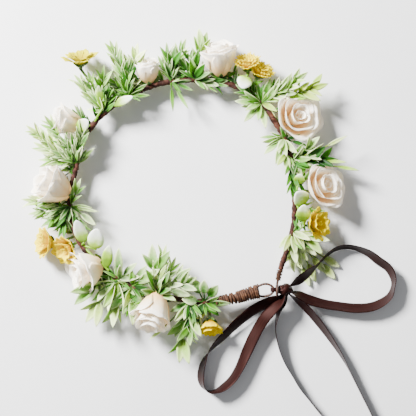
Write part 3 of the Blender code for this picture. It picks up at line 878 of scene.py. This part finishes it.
def shoot(work, root, row, rng):
    """A stem from its root towards its tip, with leaves on both sides and one at the end. It bends a little."""
    tip_x, tip_y, rise, kind, tone, frost = row
    gap, leaf_length, leaf_width, spread = LEAF_KINDS[kind]
    reach = plan(tip_x, tip_y)[:2] - root[:2]
    heading = degrees(atan2(reach[1], reach[0]))
    length = max(np.hypot(*reach) - 0.85 * leaf_length * MM, 6 * MM)
    pairs = int(length / MM / gap)
    bend = rng.uniform(-12, 12)
    t = np.linspace(0, 1, 12)
    angle = np.radians(heading + bend * (t - 0.5))
    climb = np.radians(rise * (1 - 0.9 * t))
    step = length / 11
    path = root + np.concatenate([[[0, 0, 0]], np.cumsum(step * np.column_stack(
        [np.cos(climb) * np.cos(angle), np.cos(climb) * np.sin(angle), np.sin(climb)])[1:], axis=0)])
    path[:, 2] = np.maximum(path[:, 2], 1.6 * MM)
    radius = np.interp(t, [0, 1], [0.65 * MM, 0.3 * MM])
    if not hidden_by_bloom(path[6]):
        work.tube(path, radius, 6, edge=0.0, tip=0.2, tone=tone, frost=0.15)
    lift = 26 if rise > 0 else 16
    lean = 0.5 * rise if rise > -12 else 0.1 * rise
    for k, foot in enumerate(np.repeat(np.linspace(0.15, 0.93, pairs), 2)):
        side = 1 if k % 2 else -1
        place = np.array([np.interp(foot + 0.03 * side, t, column) for column in path.T])
        size = (1.06 - 0.3 * abs(foot - 0.45)) * rng.uniform(0.8, 1.15)
        blade(work, place, heading + bend * (foot - 0.5) + side * spread * rng.uniform(0.7, 1.4),
              lean + rng.uniform(-10, lift), leaf_length * size * MM, leaf_width * size * MM,
              rng.uniform(-0.2, 0.16), rng.uniform(0.15, 0.6), side * rng.uniform(-0.3, 1.0),
              tone + rng.uniform(-0.2, 0.2), frost * rng.uniform(0.5, 1.4))
    blade(work, path[-2], heading + bend / 2, lean + rng.uniform(-6, 12), leaf_length * MM, leaf_width * MM,
          rng.uniform(-0.1, 0.1), 0.3, rng.uniform(-0.5, 0.5), tone, frost)
    return 2 * pairs + 1


def frosted_leaf():
    """Soft moulded leaf plastic: satin green, sprayed white from the edges in and towards the tip, with painted shade
    darkening each blade towards its foot.

    tone runs from dark green to yellow-green, and frost says how much white was sprayed.
    """
    made = new_material("frosted_leaf_plastic", 0.6, (0.12, (0.002, 0.004, 0.001)), Specular_IOR_Level=0.2)
    edge, tip, tone, frost = (attribute(made, key) for key in ("edge", "tip", "tone", "frost"))
    green = ramp(made, tone, [(0.0, "#0f3605"), (0.3, "#2f6a0e"), (0.6, "#5f9c18"), (1.0, "#a9c433")])
    reach = calc(made, "MULTIPLY_ADD", calc(made, "POWER", edge, 2.5), 0.6, calc(made, "POWER", tip, 2.0))
    cloudy = calc(made, "MULTIPLY_ADD", noise(made, 380.0, 4.0), 0.7, reach)
    cover = add_node(made, "MapRange", {"Value": calc(made, "MULTIPLY", cloudy, frost), "From Min": 0.3,
                                                  "From Max": 1.8}).outputs[0]
    # Painted shade: each blade is darkened towards its foot, where it sits inside the sprig.
    foot_shaded_green = mix_colour(made, 1.0, green, ramp(made, tip, [(0.0, "#7c7f70"), (0.5, "#ffffff")]), "MULTIPLY")
    colour = mix_colour(made, cover, foot_shaded_green, linear("#e2f0b4"))
    return surfaced(made, colour, noise(made, 1200.0), 0.3)


leaf_finish = frosted_leaf()

# %% The sprigs: for each shoot its tip x and y (mm), rise (degrees), kind of leaf, tone and frost (tenths)
# Each kind of leaf: gap between pairs, length, width (mm), spread (degrees)
LEAF_KINDS = {row[0]: row[1:] for row in table("""
N 4.2 14 3.3 24
L 6 16 5.6 32
P 6.5 18 6.6 30
B 9 13 8.2 42
W 60 19 3.2 20
G 9 22 8 30
T 60 17 6.6 20
""")[0]}
SPRIGS = table("""
-87 94 8 N 6 10, -77 96 14 N 5 8, -64 101 20 N 5 6, -79 78 6 L 7 12, -57 85 24 N 3 4, -68 85 24 N 2 3

-58 122 10 N 6 9, -50 112 18 N 4 6, -42 107 24 N 3 5, -35 118 8 L 9 13, -30 83 26 N 4 6, -60 91 12 N 4 6
-28 76 14 N 4 5

-14 118 16 N 3 7, -7 114 24 L 3 5, 2 122 10 N 5 9, 4 66 4 W 5 6, -9 70 6 W 5 5, 7 80 10 N 3 5, -20 107 10 N 4 7

19 127 14 L 6 8, 11 112 22 L 3 4, 18 102 20 L 2.5 4, 20 86 12 L 2 10, 2 115 12 N 4 6, -5 106 24 N 3 5, 36 82 8 N 3 5

101 94 16 L 6 11, 84 88 24 L 5 9, 118 85 10 L 9 6, 52 59 6 L 5 10, 65 54 6 L 6 12, 46 70 10 L 5 9, 82 74 20 L 7 7
70 88 14 L 4 6, 42 83 12 N 3 5

66 30 6 L 6 10, 74 22 8 L 6 11, 84 14 8 L 7 12, 71 42 12 N 4 7

133 42 18 W 9 14, 110 41 24 L 5 10, 113 32 26 L 4 12, 124 24 10 L 1 2, 100 19 14 L 3.5 8, 100 8 8 L 2 4
142 16 6 W 8 6, 131 23 12 W 8 6, 87 -8 10 N 2 4

90 -58 2 P 8 15, 96 -62 -40 P 8.5 15, 107 -52 -14 P 8 16, 116 -42 2 P 7 15, 122 -32 8 W 9 6, 88 -68 -44 P 9 14
104 -84 -50 T 8 13, 129 -77 -50 T 9 11, 119 -71 -50 T 9 13, 112 -79 -50 T 8.5 12, 131 -68 -50 T 9.5 12
102 -32 16 L 5 10

-111 62 16 N 6 9, -127 53 10 N 8 12, -121 38 14 N 7 11, -116 25 8 N 6 9, -98 45 28 N 3.5 6, -89 46 30 N 3 5
-79 48 16 N 4 7, -74 32 8 N 5 9, -78 58 20 N 3 12, -106 32 22 N 4 7

-130 -7 10 N 7 12, -124 -20 10 N 6 10, -113 -30 10 N 4 6, -98 -38 10 N 2 3, -71 -16 10 W 6 13, -70 -27 8 L 3 12
-103 -19 28 N 3 5, -81 8 10 N 5 9, -79 -37 10 N 3 5

-68 -64 20 G 3.5 10, -89 -82 16 G 5 8, -79 -105 4 G 8 11, -70 -88 22 G 2.5 5, -55 -109 4 G 8 11, -50 -56 22 G 3 9
-42 -62 20 L 3 10, -63 -59 12 N 3 5

-39 -106 8 G 6 9, -26 -69 14 G 6 11, -53 -88 20 G 3 6, -31 -62 12 L 4 9, -47 -99 14 L 4 7, -26 -85 16 N 2 4

-26 -44 16 G 4 9, -14 -42 12 N 7 11, -4 -53 14 N 6 10, 6 -61 14 L 4 10, -21 -66 28 L 3 6, -10 -64 30 L 3 6
12 -70 14 L 3 8, -26 -75 10 L 4 9

8 -72 24 B 2.5 8, 17 -71 28 B 2 8, 26 -77 20 B 2.5 7, 2 -88 26 B 2.5 10, 30 -91 10 L 3 7, 22 -106 8 L 1.5 3

-4 -138 6 G 7.5 9, 6 -125 10 L 5 8, 2 -110 14 N 1 2, 16 -109 10 N 1 2, -26 -121 6 W 6 11, -6 -117 8 L 3 6
9 -102 24 N 2 3
""")


def sprig_root(node):
    """Where a sprig leaves the tape: the point of the ring nearest to the plain sprig's own solid."""
    low, high = (np.array(corner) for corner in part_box(node))
    gap = np.linalg.norm(ring_path[:, :2] - np.clip(ring_path[:, :2], low[:2], high[:2]), axis=1)
    inside = gap < gap.min() + 0.2 * MM
    return ring_path[inside].mean(axis=0) + np.array([0, 0, 1.2 * MM])


FILLER_REACH = 26.0 * MM
FILLER_SEED = 83
BARE_FROM = plan(24, -44)


def fillers(rng, roots):
    """Short shoots along the outer side of the tape, each (root, row), for the sprig whose root is nearest. Their
    dark green tone is painted shade under the sprigs.

    They point away from the crown's middle, 15 to 65 degrees off square. There are none further than
    FILLER_REACH from every sprig, nor on the bare tape past BARE_FROM, beside the bow.
    """
    made = {i: [] for i in range(len(roots))}
    for k in range(4, len(ring_path) - 1, 6):
        here = ring_path[k]
        gap = np.linalg.norm(roots - here, axis=1)
        if gap.min() > FILLER_REACH or (here[0] > BARE_FROM[0] and here[1] < BARE_FROM[1]):
            continue
        tangent = ring_path[k + 1] - ring_path[k]
        out = degrees(atan2(-tangent[0], tangent[1]))
        along = rng.choice([-1, 1]) * rng.uniform(15, 65)
        place = degrees(atan2(here[1], here[0]))
        outside = cos(radians(out - place)) > 0
        heading = radians(out + (0 if outside else 180) + along)
        reach = rng.uniform(17, 25) * MM
        tip = here + reach * np.array([cos(heading), sin(heading), 0])
        # The low tone gives a dark green that paints the shade under the sprigs.
        row = (tip[0] / MM - PLAN_SHIFT[0], tip[1] / MM - PLAN_SHIFT[1], rng.uniform(-8, 14), "N",
               rng.uniform(0.05, 0.5), rng.uniform(0.2, 0.8))
        made[int(np.argmin(gap))].append((here, row))
    return made


leaves = 0
roots = np.array([sprig_root(f"leaf_sprig_{i}") for i in range(1, len(SPRIGS) + 1)])
extra = fillers(seeded(FILLER_SEED), roots)
for i, shoots in enumerate(SPRIGS):
    work = Patchwork()
    rng = seeded(100 + i)
    for root, row in [(roots[i], (*row[:4], row[4] / 10, row[5] / 10)) for row in shoots] + extra[i]:
        leaves += shoot(work, root, row, rng)
    settle(work.object(f"sprig_{i + 1}_leaves", leaf_finish, 0.3 * MM), "frosted_leaf",
           f"leaf_sprig_{i + 1}")
print("leaves in the sprigs:", leaves)

# %% [markdown]
# ## Waxy leaves
# A few thick oval leaves are cast in soft plastic like a succulent's: rounded like a bean, frosted white on
# top and lime at the base. Each is a closed swelling: circles squashed to ovals, carried along a bent midline.

# %% Waxy leaves
# Each leaf: foot x, y, z (mm), heading, rise (degrees), length, width (mm), lime (0 to 1)
WAXY_SPRIGS = table("""
-79 -42 16 106 18 21 10.5 0.2
-70.5 -47 16 80 20 19 13.5 0.1
-62 -62 15 78 15 20 9 0.8

92 5 16 80 30 10 8.5 0.9
98 -11 15 132 30 16 13.5 0.4
96 -25 15 90 25 16 11.5 0.7

51 91 16 248 20 13 12.5 0

-84 48 15 38 30 15 10.5 0.4
-64 66 15 100 20 19 6.5 1

-56 68 15 20 15 19 7 0.3
""")


def waxy_leaf(work, root, heading, rise, length, width, lime):
    """A closed oval: half width width/2 sin(pi v^0.8)^0.6, a third as thick, its midline bent up by 0.18 v^2."""
    v = np.linspace(0, 1, 22)[:, None]
    a = whole_turn(24)[None, :]
    down, side, axis = flower_turn(heading, rise).T
    half = width / 2 * np.sin(np.pi * v ** 0.8) ** 0.6 + 0.02 * MM
    x = half * np.cos(a)
    z = 0.34 * half * np.sin(a) + 0.18 * length * v ** 2 + 0.12 * np.abs(x)
    grid = root + (length * v)[..., None] * axis + x[..., None] * side - z[..., None] * down
    closed = capped(grid, grid.mean(axis=1))
    tip = np.broadcast_to(v, (22, 24))
    work.add(closed, wrapped=True, tip=np.concatenate([tip[:1], tip, tip[-1:]]) - 0.5 * lime)


def waxy_finish():
    """Cast soft plastic: lime at the base, under a white bloom like a succulent's, with a satin gloss."""
    made = new_material("waxy_leaf_plastic", 0.42, (0.2, (0.003, 0.005, 0.001)), Specular_IOR_Level=0.35)
    blot = calc(made, "MULTIPLY_ADD", noise(made, 170.0), 0.5, attribute(made, "tip"))
    colour = ramp(made, blot, [(0.2, "#6a9210"), (0.45, "#9cc238"), (0.7, "#dfecc4"), (1.0, "#f2f8ee")])
    return surfaced(made, colour, noise(made, 500.0, 2.0), 0.15)


waxy = waxy_finish()
for i, rows in enumerate(WAXY_SPRIGS, 1):
    work = Patchwork()
    root = sprig_root(f"waxy_sprig_{i}") + np.array([0, 0, 2.6 * MM])
    for x, y, z, heading, rise, length, width, lime in rows:
        foot = plan(x, y, z)
        stalk = smooth([root - [0, 0, 4 * MM], (root + foot) / 2, foot + 0.15 * (foot - root)], 1.0 * MM)
        work.tube(stalk, 0.9 * MM, 8, tip=-0.2)
        waxy_leaf(work, foot, heading, rise, length * MM, width * MM, lime)
    settle(work.object(f"waxy_{i}_leaves", waxy), "waxy_leaf", f"waxy_sprig_{i}")
print("waxy leaves:", sum(len(rows) for rows in WAXY_SPRIGS))

# %% [markdown]
# ## Calyxes and stems
# Every flower sits in a small moulded cup with pointed sepals, on a short stem bound under the tape. The stem
# is a tube from the flower's back to the ring that swells into the cup, and the sepals are small leaf blades.

# %% Stems
# Moulded green plastic: satin, mid green, lighter in patches.
stem_green = new_material("green_stem_plastic", 0.5)
patches = ramp(stem_green, noise(stem_green, 300.0), [(0.3, "#27450f"), (0.7, "#5d7d2c")])
surfaced(stem_green, patches, noise(stem_green, 900.0, 2.0), 0.2)


def flower_stem(name, centre, heading, rise, depth, slope, cup, sepals, sepal_length):
    """A stem and calyx: radius falls from the cup to 1 mm over 7 mm, then runs to the ring's middle.

    The sepals are leaf blades laid along the outermost petals, at their slope.
    """
    axis = flower_turn(heading, rise)[:, 2]
    top = centre - axis * depth / 2
    neck = top - axis * 5.0 * MM
    foot = ring_path[np.argmin(np.linalg.norm(ring_path - neck, axis=1))]
    path = smooth([top + axis * 1.0 * MM, top - axis * 1.5 * MM, neck, (neck + foot) / 2, foot], 0.8 * MM)
    path[:, 2] = np.maximum(path[:, 2], 1.3 * MM)
    along = length_along(path) / MM
    radius = np.interp(along, [0, 2.5, 5, 7, along[-1]], [cup, 0.8 * cup, 1.3, 1.0, 0.9]) * MM
    work = Patchwork().tube(path, radius, 14, edge=0.0, tip=0.0, tone=0.3, frost=0.0)
    rng = seeded(len(name) + int(1e5 * abs(centre[0])))
    for k in range(sepals):
        spin = TAU * k / sepals + rng.uniform(-0.2, 0.2)
        across = flower_turn(heading, rise) @ np.array([cos(spin), sin(spin), 0])
        out = sin(radians(slope)) * across + cos(radians(slope)) * axis
        leaf_heading = degrees(atan2(out[1], out[0]))
        leaf_rise = degrees(asin(out[2]))
        blade(work, top - axis * 1.2 * MM + across * 0.8 * cup * MM, leaf_heading, leaf_rise, sepal_length * MM,
              0.42 * sepal_length * MM, 0.0, 0.3, 0.0, 0.3, 0.2, rows=7, kept=True)
    return work.object(name, stem_green, 0.25 * MM)


for kind, rows, cup, sepals, sepal_length in (("rose", ROSES, 3.4, 6, 9.0),
                                              ("yellow_flower", YELLOW_FLOWERS, 2.2, 5, 5.5)):
    for i, (_, nudge, heading, rise, _, depth) in enumerate(rows, 1):
        green = flower_stem(f"{kind}_{i}_calyx", flower_centre(kind, i, nudge), heading, rise, depth * MM,
                            CUP_SLOPE[f"{kind}_{i}"] + 7, cup, sepals, sepal_length)
        settle(green, "green_stem", f"{kind}_{i}_stem")
print("stems made")
